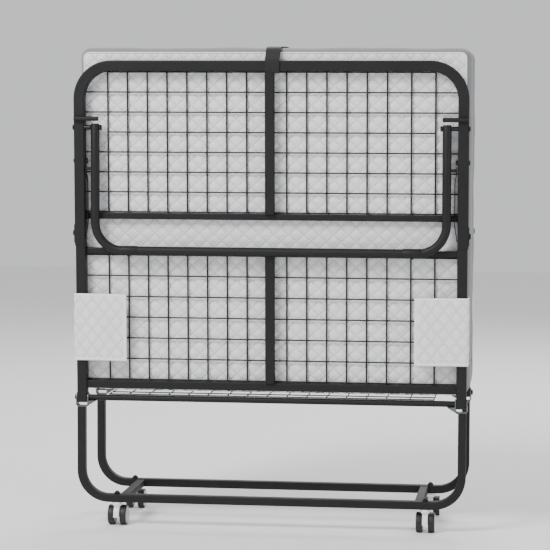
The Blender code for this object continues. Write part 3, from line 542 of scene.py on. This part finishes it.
plug = moulded("polyethylene_plug_black", "#161617", 0.5, 0.2)
for end in ("front", "rear"):
    body = f"deck_{end}"
    x, r, top = 0.47605, 0.08175, 0.83025
    arc_left = bend((-x + r, top - r), r, 180, 90, 18)
    arc_right = bend((x - r, top - r), r, 90, 0, 18)
    path = in_wall([[-x, SLEEVE_AT], [-x, 0.5], *arc_left, *arc_right, [x, 0.5], [x, SLEEVE_AT]], 0)
    head_tube = carried(path, (0, 1, 0), box_section(0.0265, 0.0265, 0.0032, 4))
    pieces = [head_tube]
    for sign in (-1, 1):
        rod_y, rod_z = -0.01775, 0.700
        rod = [(0.4255, 0.0002), (0.4255, 0.0046), (0.4263, 0.0055), (0.4868, 0.0055), (0.4874, 0.0048),
               (0.4874, 0.0002)]
        pieces.append(turned([(sign * a, q) for a, q in rod], (0, rod_y, rod_z), 20))
    bent = outward(f"deck_head_{end}", [on_deck(g, end) for g in pieces], coat)
    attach(bent, body)
    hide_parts(f"{end}_deck_bent_tube")
    for sign in (-1, 1):
        side = named_side(end, sign)
        x = sign * TUBE_X
        tube = straight((x, 0, -0.009), (x, 0, 0.3832), (0, 1, 0), box_section(0.025, 0.025, 0.003, 4))
        beads = [weld_bead((sign * CROSS_END, 0.0025, 0.0345), (1, 0, 0), 0.020, 0.020)]
        rail = outward(f"deck_rail_{end}_{side}", [on_deck(g, end) for g in [tube, *beads]], coat)
        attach(rail, body)
        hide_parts(f"{end}_deck_side_tube_{side}")
        foot = straight((x, 0, -0.0112), (x, 0, -0.0085), (0, 1, 0), box_section(0.0258, 0.0258, 0.003, 4))
        cap = outward(f"deck_plug_{end}_{side}", [on_deck(foot, end)], plug)
        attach(cap, body)
        outline = [[-0.0105, 0.392], [0.0105, 0.392], [0.0105, 0.434], [0.008, 0.4375], [-0.008, 0.4375],
                   [-0.0105, 0.434]]
        strip = plate(outline, *sorted((sign * 0.4891, sign * 0.4912)), 0.0005)
        bolt = hex_head(sign * 0.4912, sign * 0.4952, 0.013, (0, 0, 0.415))
        joint = outward(f"deck_joint_plate_{end}_{side}", [on_deck(g, end) for g in [strip, bolt]], coat)
        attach(joint, body)
        through = [hex_head(sign * a, sign * b, 0.0105, (0, 0, 0.595))
                   for a, b in ((0.48925, 0.4925), (0.4628, 0.4565))]
        screw = outward(f"deck_bolt_{end}_{side}", [on_deck(g, end) for g in through], blackened)
        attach(screw, body)
    for level, at, size in (("low", 0.0345, 0.020), ("mid", 0.370, 0.0155), ("high", 0.458, 0.0155)):
        offset = 0.0125 - size / 2  # flush with the side tubes' inner faces
        section = box_section(size, size, 0.0025, 3)
        bar = straight((-CROSS_END, offset, at), (CROSS_END, offset, at), (0, 1, 0), section)
        ends = [weld_bead((s * 0.462, offset, at), (1, 0, 0), size, size) for s in (-1, 1)]
        cross = outward(f"deck_cross_{level}_{end}", [on_deck(g, end) for g in [bar, *ends]], coat)
        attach(cross, body)
        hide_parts(f"{end}_deck_cross_tube_{level}")
    for level, low, high in (("low", 0.0448, 0.3620), ("high", 0.4661, 0.8167)):
        offset = -0.0125 + 0.010
        bar = straight((0, offset, low), (0, offset, high), (0, 1, 0), box_section(0.023, 0.020, 0.0026, 3))
        ends = [weld_bead((0, offset, q), (0, 0, 1), 0.023, 0.020) for q in (low, high)]
        spine = outward(f"deck_spine_{level}_{end}", [on_deck(g, end) for g in [bar, *ends]], coat)
        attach(spine, body)
        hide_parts(f"{end}_deck_spine_{level}")


# ------------------------------------------------------------ wire panels
# Welded panels of wire at about 50 mm pitch, black coated: 4 mm upright wires lie behind 3.6 mm level
# ones and are fused to them where they cross. The level wires run out to the side tubes.

BEND_X, BEND_UP, BEND_IN = 0.3943, 0.7485, 0.0685  # the head's bend: its centre and inside radius


def bend_reach(up):
    """How far across the inside of the head's bend reaches at a height up the deck."""
    rise = np.clip(up - BEND_UP, 0, 0.0684)
    return BEND_X + np.sqrt(BEND_IN ** 2 - rise ** 2)


for end in ("front", "rear"):
    for level, low, high, count in (("low", 0.0448, 0.3619, 7), ("high", 0.4661, 0.8168, 8)):
        rows = np.linspace(low + 0.0020, high - 0.0020, count)
        reach = np.minimum(bend_reach(rows + 0.0015), CROSS_END)
        tops = np.full(len(columns), high)
        if level == "high":
            reach[[4, 7]] = 0.4085  # these two stop at the last upright wire
            past = np.clip(np.abs(columns) - BEND_X, 0, 1)
            tops = np.minimum(BEND_UP + np.sqrt(np.clip(BEND_IN ** 2 - past ** 2, 0, 1)), 0.8167)
        ends = [((x, 0.0108, low), (x, 0.0108, top)) for x, top in zip(columns, tops)]
        upright = wires(ends, (0, 1, 0), 0.0020)
        across = wires([((-q, 0.0080, z), (q, 0.0080, z)) for z, q in zip(rows, reach)], (0, 1, 0), 0.0018)
        panel = outward(f"deck_wires_{level}_{end}", [on_deck(g, end) for g in upright + across], wire_coat)
        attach(panel, f"deck_{end}")
        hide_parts(f"{end}_deck_wire_{level}")


# ------------------------------------------------------------ legs, pivots and clips
# Each leg is one bent length of 22 mm round tube, powder coated, hung from two shoulder bolts. Its
# foot bar wears two thin sleeves, pinned from below. A stud near the top of each side springs into
# a strip clip on the deck when the leg is folded.

PIVOT = (-0.007, 0.678)  # outwards from the deck's middle plane, and up the deck
for end in ("front", "rear"):
    turn = 1 if end == "front" else -1
    hung = on_deck(np.array([[0.0, PIVOT[0], PIVOT[1]]]), end)[0]

    def on_leg(points):
        """Points given as (across, inwards, up) from the leg's pivot, which hangs plumb."""
        return np.asarray(points, float) * [turn, turn, 1] + hung

    x, r, low = 0.436, 0.070, -0.3052
    flat = [[-x, 0.0095], [-x, 0.006], [-x, -0.12], *bend((-x + r, low + r), r, 180, 270, 16)]
    flat += [*bend((x - r, low + r), r, 270, 360, 16), [x, -0.12], [x, 0.006], [x, 0.0095]]
    tube = carried(in_wall(flat, 0), (0, 1, 0), round_section(0.011, 28))
    for row, shrink in ((0, 0.84), (-1, 0.84)):
        tube[row] = tube[row].mean(0) + (tube[row] - tube[row].mean(0)) * shrink
    grids = [tube]
    for sign in (-1, 1):
        stud = [(0.445, 0.0002), (0.445, 0.004), (0.4586, 0.004), (0.4592, 0.0032), (0.4592, 0.0002)]
        grids.append(turned([(sign * a, q) for a, q in stud], (0, 0, -0.1015), 16))
        sleeve = [(0.330, 0.0109), (0.330, 0.0119), (0.3306, 0.0122), (0.3744, 0.0122), (0.375, 0.0119),
                  (0.375, 0.0109)]
        grids.append(turned([(sign * a, q) for a, q in sleeve], (0, 0, low), 28))
        pin = turned([(0, 0.0002), (0, 0.0042), (0.0024, 0.0038), (0.003, 0.0002)], (0, 0, 0), 16)
        grids.append(stood(pin) * [1, 1, -1] + np.array([sign * 0.352, 0, low - 0.0118]))
    leg = outward(f"leg_tube_{end}", [on_leg(g) for g in grids], coat)
    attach(leg, f"leg_{end}")
    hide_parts(f"leg_{end}")
    for sign in (-1, 1):
        side = named_side(end, sign)
        at = (0, PIVOT[0], PIVOT[1])
        inner, outer = 0.4625, 0.4896
        shank = [(0.4247, 0.0002), (0.4247, 0.0038), (inner, 0.0038), (inner, 0.0002)]
        spacer = [(0.4473, 0.0002), (0.4473, 0.0058), (inner, 0.0058), (inner, 0.0002)]
        parts = [turned([(sign * a, q) for a, q in line], at, 20) for line in (shank, spacer)]
        head = [(outer, 0.0002), (outer, 0.0068), (outer + 0.0012, 0.0068), (outer + 0.0028, 0.0056),
                (outer + 0.0036, 0.003), (outer + 0.0038, 0.0002)]
        parts.append(turned([(sign * a, q) for a, q in head], at, 24))
        parts.append(hex_head(sign * 0.4247, sign * 0.4192, 0.0115, at))
        bolt = outward(f"leg_bolt_{end}_{side}", [on_deck(g, end) for g in parts], blackened)
        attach(bolt, f"deck_{end}")
        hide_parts(f"leg_{end}_pivot_bolt_{side}")
        up = np.array([0.402, 0.412, 0.424, 0.440, 0.50, 0.546, 0.558, 0.566, 0.574, 0.580, 0.5845])
        bow = [0.0, 0.0004, 0.0030, 0.0052, 0.0056, 0.0054, 0.0036, 0.0012, 0.0010, 0.0004, 0.0016]
        line = np.column_stack([sign * (0.4612 - np.array(bow)), np.full(len(up), -0.0079), up])
        strip = carried(line, (0, 1, 0), box_section(0.0020, 0.0088, 0.0008))
        clip = outward(f"leg_spring_{end}_{side}", [on_deck(strip, end)], blackened)
        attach(clip, f"deck_{end}")
        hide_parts(f"leg_{end}_clip_{side}")


# ------------------------------------------------------------ mattress
# One foam block 104 mm thick in a light grey knitted cover, quilted in diamonds 37 by 33 mm on both
# faces, with a plain border between two white tape edges, its mid grey partly the border's own colour
# and partly painted shade for the shade on the mattress's top and sides. It bends at both deck hinges.
# It is drawn as two halves that butt on the middle of the base, each bending from the base to its deck.

def knitted_cover(name, color, diamond=None, wear=0.05):
    """Knitted polyester: soft sheen, a faint unevenness 50 mm across and a two-way rib 1 mm across,
    which is twice the real thread. Where a diamond size is given, quilting stitches are sunk along
    both sets of slanted lines, and painted shade darkens the cover's colour towards them."""
    made, tree, shader = finish_named(name, (("Roughness", 0.88), ("Sheen Weight", 0.2),
                                             ("Sheen Roughness", 0.5), ("Specular IOR Level", 0.2)))
    place = add(tree, "ShaderNodeTexCoord").outputs["UV"]
    patch = add(tree, "ShaderNodeTexNoise", (("Scale", 20.0), ("Detail", 4.0)), (("Vector", place),))
    tone = add(tree, "ShaderNodeValToRGB", (), (("Fac", patch.outputs["Fac"]),))
    tone.color_ramp.elements[0].position = 0.3
    tone.color_ramp.elements[0].color = tuple(c * (1 - wear) for c in linear(color)[:3]) + (1,)
    tone.color_ramp.elements[1].position = 0.7
    tone.color_ramp.elements[1].color = linear(color)
    warp = add(tree, "ShaderNodeTexWave", (("Scale", 50.0), ("bands_direction", "X")), (("Vector", place),))
    weft = add(tree, "ShaderNodeTexWave", (("Scale", 50.0), ("bands_direction", "Y")), (("Vector", place),))
    weave = add(tree, "ShaderNodeMath", (("operation", "MULTIPLY"),))
    tree.links.new(warp.outputs["Fac"], weave.inputs[0])
    tree.links.new(weft.outputs["Fac"], weave.inputs[1])
    rib = add(tree, "ShaderNodeBump", (("Strength", 0.2), ("Distance", 0.0003)),
              (("Height", weave.outputs["Value"]),))
    tree.links.new(rib.outputs["Normal"], shader.inputs["Normal"])
    if diamond is None:
        tree.links.new(tone.outputs["Color"], shader.inputs["Base Color"])
        return made
    from_line = add(tree, "ShaderNodeMath", (("operation", "MINIMUM"),))
    for slot, way in enumerate((1, -1)):
        count = add(tree, "ShaderNodeVectorMath", (("operation", "DOT_PRODUCT"),))
        count.inputs[1].default_value = (1 / diamond[0], way / diamond[1], 0)
        tree.links.new(place, count.inputs[0])
        fold = add(tree, "ShaderNodeMath", (("operation", "PINGPONG"),))
        fold.inputs[1].default_value = 0.5
        tree.links.new(count.outputs["Value"], fold.inputs[0])
        tree.links.new(fold.outputs["Value"], from_line.inputs[slot])
    # painted shade: the colour drops to 0.82 on the stitch lines and rises back to full over each puff's
    # middle
    shade = add(tree, "ShaderNodeValToRGB", (), (("Fac", from_line.outputs["Value"]),))
    shade.color_ramp.elements[0].color = (0.82, 0.82, 0.825, 1)
    shade.color_ramp.elements[1].position = 0.30
    shade.color_ramp.elements[1].color = (1, 1, 1, 1)
    near = shade.color_ramp.elements.new(0.045)
    near.color = (0.94, 0.94, 0.942, 1)
    mixed = add(tree, "ShaderNodeMix", (("data_type", "RGBA"), ("blend_type", "MULTIPLY")))
    mixed.inputs["Factor"].default_value = 1
    tree.links.new(tone.outputs["Color"], mixed.inputs[6])
    tree.links.new(shade.outputs["Color"], mixed.inputs[7])
    tree.links.new(mixed.outputs[2], shader.inputs["Base Color"])
    sunk = add(tree, "ShaderNodeMapRange", (("From Max", 0.11), ("interpolation_type", "SMOOTHSTEP")),
               (("Value", from_line.outputs["Value"]),))
    press = add(tree, "ShaderNodeBump", (("Strength", 0.7), ("Distance", 0.0016)),
                (("Height", sunk.outputs["Result"]), ("Normal", rib.outputs["Normal"])))
    tree.links.new(press.outputs["Normal"], shader.inputs["Normal"])
    return made


HALF_WIDE, LONG, THICK = 0.473, 0.9795, 0.104
CELLS_X, CELLS_S = 152, 176
DIAMOND = (2 * HALF_WIDE / CELLS_X * 6, LONG / CELLS_S * 6)  # six cells each way
SHIFT_X = 0.007  # the mattress lies a little to the right
OPEN = math.radians(88.0)  # how far a deck half turns
CREASE = math.radians(45.7)  # the crease line's angle over the open deck, seen from the hinge
STRIP = 0.004  # half the width of the strip that bends
PUFF_EDGE = 0.012
# the quilted cover's colour carries painted shade towards its stitch lines
cover = knitted_cover("polyester_quilted_light_grey", "#EDEDEE", DIAMOND)
# the border's grey is partly its own colour and partly painted shade for the shade on the mattress's top and
# sides
border = knitted_cover("polyester_border_grey", "#818183")
tape = knitted_cover("polyester_tape_white", "#F2F2F2", None, 0.03)


def lay_cloth(made, flat):
    """Gives a mesh its cloth coordinates: each face corner takes its vertex's (u, v), in metres."""
    layer = made.data.uv_layers.new(name="cloth")
    loops = np.empty(len(made.data.loops), int)
    made.data.loops.foreach_get("vertex_index", loops)
    layer.data.foreach_set("uv", flat[loops].astype(np.float32).ravel())


def folded(along, up):
    """The mattress is laid out open, as the distance from the hinge and the height over it, and
    folded back: a point turns about the hinge by its share of the opening. The share rises smoothly
    over a strip on each side of the crease line, and is found by halving."""
    reach = np.hypot(along, up)
    angle = np.arctan2(up, along)
    low, high = np.zeros_like(reach), np.ones_like(reach)
    for _ in range(40):
        share = (low + high) / 2
        across = reach * np.sin(angle - share * OPEN - CREASE)
        t = np.clip(0.5 + across / (2 * STRIP), 0, 1)
        ahead = t * t * (3 - 2 * t) > share
        low, high = np.where(ahead, share, low), np.where(ahead, high, share)
    turned_back = angle - (low + high) / 2 * OPEN
    return reach * np.cos(turned_back), reach * np.sin(turned_back)


def mattress_place(across, s, t, end):
    """World place of a mattress point: across its width, s along from the middle, t through it."""
    along = HOOP_Y - s
    under = 0.0168 + 0.0185 * np.exp(-((along / 0.032) ** 2))
    over = 0.0148 + THICK
    y, z = folded(along, under + (over - under) * t / THICK)
    way = 1 if end == "front" else -1
    return np.stack([across + SHIFT_X, way * (y - HOOP_Y), z + PIN_Z], -1)


def round_corner(x, s, radius):
    """Squares off to a round corner: the corner square is bent to a quarter disc."""
    a = np.clip((np.abs(x) - (HALF_WIDE - radius)) / radius, 0, 1)
    b = np.clip((s - (LONG - radius)) / radius, 0, 1)
    near = (a > 0) & (b > 0)
    a2, b2 = a * np.sqrt(1 - b * b / 2), b * np.sqrt(1 - a * a / 2)
    x = np.where(near, np.sign(x) * (HALF_WIDE - radius + radius * a2), x)
    return x, np.where(near, LONG - radius + radius * b2, s)


def quilt(x, s, puff):
    """The puff of a quilted face: each diamond rises as the root of the product of two sines that
    are zero on its stitch lines, and the rise fades out within 12 mm of the face's edge."""
    a, b = x / DIAMOND[0] + s / DIAMOND[1], x / DIAMOND[0] - s / DIAMOND[1]
    rise = (np.abs(np.sin(math.pi * a)) * np.abs(np.sin(math.pi * b))) ** 0.6
    edge = np.minimum(HALF_WIDE - np.abs(x), LONG - s)
    fade = np.clip(edge / PUFF_EDGE, 0, 1)
    uneven = 1 + 0.15 * np.sin(x * 31 + 1.3) * np.sin(s * 27 + 0.4)
    return puff * rise * fade * fade * (3 - 2 * fade) * uneven


def grid_quads(index):
    """One face for each cell of a grid of vertex numbers."""
    return np.stack([index[:-1, :-1], index[:-1, 1:], index[1:, 1:], index[1:, :-1]], -1).reshape(-1, 4)


def mattress_half(end):
    """Two quilted faces on one grid, joined by a border that bulges as 1 - |2 t - 1|^4 between them,
    and a round tape along both edges of the border."""
    across, along = np.linspace(-HALF_WIDE, HALF_WIDE, CELLS_X + 1), np.linspace(0, LONG, CELLS_S + 1)
    x, s = np.meshgrid(across, along, indexing="ij")
    under_t = -quilt(x, s, 0.0036)
    over_t = THICK + quilt(x, s, 0.0045)
    x, s = round_corner(x, s, PUFF_EDGE)
    rim = np.concatenate([np.arange(CELLS_S + 1), np.arange(1, CELLS_X + 1) * (CELLS_S + 1) + CELLS_S,
                          CELLS_X * (CELLS_S + 1) + np.arange(CELLS_S - 1, -1, -1)])
    rim_x, rim_s = x.ravel()[rim], s.ravel()[rim]
    go = np.gradient(np.stack([rim_x, rim_s], 1), axis=0)
    out = np.stack([-go[:, 1], go[:, 0]], 1)
    out[:4], out[-4:] = (-1, 0), (1, 0)
    out /= np.linalg.norm(out, axis=1)[:, None]
    out[0], out[-1] = (-1, 0), (1, 0)
    levels = np.linspace(0, 1, 13)[1:-1]
    bulge = 0.0145 * (1 - np.abs(2 * levels - 1) ** 4)
    wave = 1 + 0.06 * np.sin(rim_s * 23 + rim_x * 19) + 0.03 * np.sin(rim_s * 61 - rim_x * 47)
    wave *= 1 - 0.14 * np.abs(out[:, 1])
    proud = bulge[:, None] * wave[None]
    border_x = rim_x[None] + out[None, :, 0] * proud
    border_s = np.maximum(rim_s[None] + out[None, :, 1] * proud, 0)
    border_t = np.repeat((levels * THICK)[:, None], len(rim), 1)
    sheets = ((x, s, under_t), (x, s, over_t), (border_x, border_s, border_t))
    points = np.concatenate([mattress_place(*sheet, end).reshape(-1, 3) for sheet in sheets])
    count = x.size
    cells = np.arange(count).reshape(x.shape)
    under = grid_quads(cells)
    over = under[:, ::-1] + count
    band = 2 * count + np.arange(border_x.size).reshape(border_x.shape)
    columns_up = np.vstack([rim[None], band, rim[None] + count])
    wall = grid_quads(columns_up.T)
    end_loop = np.concatenate([cells[:, 0], columns_up[1:-1, -1], (cells[:, 0] + count)[::-1],
                               columns_up[1:-1, 0][::-1]])
    faces = np.vstack([under, over, wall])
    if end == "rear":
        faces, end_loop = faces[:, ::-1], end_loop[::-1]
    made = obj_from(f"mattress_quilted_{end}", points, faces.tolist() + [end_loop.tolist()], cover, 75)
    made.data.materials.append(border)
    plain = np.zeros(len(faces) + 1, np.int32)
    plain[len(under) + len(over):] = 1
    made.data.polygons.foreach_set("material_index", plain)
    face = np.stack([x, s], -1).reshape(-1, 2)
    round_it = np.stack([border_x + border_s, border_t], -1).reshape(-1, 2)
    lay_cloth(made, np.concatenate([face, face + [64 * DIAMOND[0], 0.0], round_it + [0.0, 3.0]]))
    tape_r, rims = 0.0018, []
    for t in (0.0, THICK):
        line = np.stack([rim_x + out[:, 0] * 0.0005, rim_s + out[:, 1] * 0.0005], 1)
        angle = np.linspace(0, 2 * math.pi, 8, endpoint=False)
        ring_x = line[:, :1] + out[:, :1] * tape_r * np.cos(angle)
        ring_s = np.maximum(line[:, 1:] + out[:, 1:] * tape_r * np.cos(angle), 0)
        ring_t = t + tape_r * np.sin(angle)[None] + np.zeros_like(ring_x)
        rims.append(mattress_place(ring_x, ring_s, ring_t, end))
    tape_edge = outward(f"mattress_tape_{end}", rims, tape, 60)
    flat = np.stack(np.meshgrid(np.arange(len(rim)) * 0.0058, np.arange(8) * 0.002, indexing="ij"), -1)
    lay_cloth(tape_edge, np.concatenate([flat.reshape(-1, 2)] * 2))
    return made, tape_edge


for end, way in (("front", -1), ("rear", 1)):
    quilted, tape_edge = mattress_half(end)
    for soft in (quilted, tape_edge):
        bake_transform(soft)
    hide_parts(f"mattress_{end}", "mattress_middle")


# ------------------------------------------------------------ side tabs
# Four tabs of the quilted cover, hemmed all round with a 6 mm turned edge. Each is sewn to the
# mattress border, wraps the deck's side tube and lies flat over the wires.

TAB_DIAMOND = (0.031, 0.039)
# the tabs' quilted cover carries the same painted shade towards its stitch lines
tab_cover = knitted_cover("polyester_quilted_tab", "#EDEDEE", TAB_DIAMOND)


def side_tab(end, sign):
    """A sheet folded round the tube: it runs back along the tube's outer face, turns the corner on
    a 5 mm radius and crosses the front. Its thickness is a hem at the edges and quilting inside."""
    front, outer, corner = -0.0158, 0.4902, 0.005
    back = np.linspace(0.020, front + corner, 6)
    turn = np.radians(np.linspace(0, 90, 7))[1:]
    cross = np.linspace(outer - corner, 0.3592, 58)[1:]
    x = np.concatenate([np.full(6, outer), outer - corner + corner * np.cos(turn), cross])
    y = np.concatenate([back, front + corner - corner * np.sin(turn), np.full(57, front)])
    nx = np.concatenate([np.ones(6), np.cos(turn), np.zeros(57)])
    ny = np.concatenate([np.zeros(6), -np.sin(turn), -np.ones(57)])
    run = np.concatenate([[0], np.cumsum(np.hypot(np.diff(x), np.diff(y)))])
    up = np.linspace(0.0962, 0.2642, 74)
    r, u = np.meshgrid(run, up, indexing="ij")
    wide, tall = run[-1], up[-1] - up[0]
    edge = np.minimum.reduce([wide - r, u - up[0], up[-1] - u])
    a, b = r / TAB_DIAMOND[0] + u / TAB_DIAMOND[1], r / TAB_DIAMOND[0] - u / TAB_DIAMOND[1]
    rise = (np.abs(np.sin(math.pi * a)) * np.abs(np.sin(math.pi * b))) ** 0.6
    inside = np.clip((edge - 0.007) / 0.006, 0, 1)
    hem = np.clip(edge / 0.0015, 0, 1) * np.clip((0.0072 - edge) / 0.0016, 0, 1)
    stitch = -0.0006 * np.exp(-((edge - 0.0076) / 0.0008) ** 2)
    thick = 0.0011 + 0.0016 * rise * inside * inside * (3 - 2 * inside) + 0.0012 * hem + stitch
    sag = 0.0009 * np.sin(math.pi * (u - up[0]) / tall) * np.sin(math.pi * np.clip(r / wide, 0, 1))
    droop = -0.0012 * np.clip((r - 0.04) / (wide - 0.04), 0, 1) ** 2
    px, py = x[:, None] + nx[:, None] * (thick + sag), y[:, None] + ny[:, None] * (thick + sag)
    outer_sheet = np.stack([sign * px, py, u + droop], -1)
    px, py = x[:, None] + nx[:, None] * (sag - 0.0004), y[:, None] + ny[:, None] * (sag - 0.0004)
    inner_sheet = np.stack([sign * px, py, u + droop], -1)
    rows, cols = r.shape
    cells = np.arange(rows * cols).reshape(rows, cols)
    top = grid_quads(cells.T)
    low = top[:, ::-1] + rows * cols
    rim = np.concatenate([cells[:-1, 0], cells[-1, :-1], cells[:0:-1, -1], cells[0, :0:-1]])
    after = np.roll(rim, -1)
    wall = np.stack([after, rim, rim + rows * cols, after + rows * cols], -1)
    faces = np.vstack([top, low, wall])
    faces = faces if sign > 0 else faces[:, ::-1]
    points = on_deck(np.concatenate([outer_sheet.reshape(-1, 3), inner_sheet.reshape(-1, 3)]), end)
    made = obj_from(f"side_tab_{end}_{named_side(end, sign)}", points, faces.tolist(), tab_cover, 75)
    made.data.materials.append(tape)
    cell_edge = (edge[:-1, :-1] + edge[1:, 1:]) / 2
    hemmed = np.concatenate([(cell_edge.T < 0.0068).ravel(), np.ones(top.shape[0] + len(wall), bool)])
    made.data.polygons.foreach_set("material_index", hemmed.astype(np.int32))
    lay_cloth(made, np.concatenate([np.stack([r, u], -1).reshape(-1, 2)] * 2))
    return made, (wide, tall)


for end in ("front", "rear"):
    for sign in (-1, 1):
        side = named_side(end, sign)
        tab, size = side_tab(end, sign)
        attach(tab, f"deck_{end}")
        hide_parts(f"mattress_{end}_tab_{side}")


# ------------------------------------------------------------ strap
# A hook-and-loop strap of dark woven polypropylene, 36 mm wide and 2 mm thick, from under the top
# tube, up its front and over the mattress. Its two halves meet over the middle, where it opens.

def webbing(name, color):
    """Woven webbing: a rib across the strap every millimetre or so, crossed by yarns along it."""
    made, tree, shader = finish_named(name, (("Roughness", 0.8), ("Sheen Weight", 0.2),
                                             ("Specular IOR Level", 0.3)))
    place = add(tree, "ShaderNodeTexCoord").outputs["UV"]
    rib = add(tree, "ShaderNodeTexWave", (("Scale", 40.0), ("bands_direction", "X")), (("Vector", place),))
    yarn = add(tree, "ShaderNodeTexWave", (("Scale", 55.0), ("bands_direction", "Y")), (("Vector", place),))
    weave = add(tree, "ShaderNodeMath", (("operation", "MULTIPLY"),))
    tree.links.new(rib.outputs["Fac"], weave.inputs[0])
    tree.links.new(yarn.outputs["Fac"], weave.inputs[1])
    tone = add(tree, "ShaderNodeValToRGB", (), (("Fac", weave.outputs["Value"]),))
    tone.color_ramp.elements[0].color = tuple(c * 0.75 for c in linear(color)[:3]) + (1,)
    tone.color_ramp.elements[1].color = linear(color)
    tree.links.new(tone.outputs["Color"], shader.inputs["Base Color"])
    bump = add(tree, "ShaderNodeBump", (("Strength", 0.5), ("Distance", 0.0006)),
               (("Height", weave.outputs["Value"]),))
    tree.links.new(bump.outputs["Normal"], shader.inputs["Normal"])
    return made


strap_web = webbing("polypropylene_webbing_dark", "#1E1E1F")
STRAP_WIDE = 0.036
strap_section = box_section(0.0021, STRAP_WIDE, 0.0009, 3)


def strap_band(end):
    """The strap's middle line on the deck, its corners cut three times to a smooth curve, swept by a
    thin rounded section that is the strap's width across."""
    over = 0.8765
    middle = (HOOP_Y + over * math.sin(LEAN)) / math.cos(LEAN) - 0.0004
    knots = np.array([[0.004, 0.8135], [-0.008, 0.8128], [-0.0150, 0.8165], [-0.0155, 0.830],
                      [-0.0152, 0.8425], [-0.011, 0.8485], [-0.003, 0.8555], [0.006, 0.8645],
                      [0.014, 0.8715], [0.026, 0.8755], [0.045, over], [0.08, over], [middle, over - 0.0004]])
    for _ in range(3):
        first, last = knots[:1], knots[-1:]
        a, b = 0.75 * knots[:-1] + 0.25 * knots[1:], 0.25 * knots[:-1] + 0.75 * knots[1:]
        knots = np.vstack([first, np.stack([a, b], 1).reshape(-1, 2), last])
    x = 0.0075 if end == "front" else -0.0075
    path = np.column_stack([np.full(len(knots), x), knots])
    return carried(path, (1, 0, 0), strap_section), knots


for end in ("front", "rear"):
    band, knots = strap_band(end)
    strap = outward(f"strap_web_{end}", [on_deck(band, end)], strap_web, 60)
    run = np.concatenate([[0], np.cumsum(np.hypot(*np.diff(knots, axis=0).T))])
    lay_cloth(strap, np.stack(np.meshgrid(run, strap_section[:, 1], indexing="ij"), -1).reshape(-1, 2))
    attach(strap, f"deck_{end}")
    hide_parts(f"strap_{end}")


low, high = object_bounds()
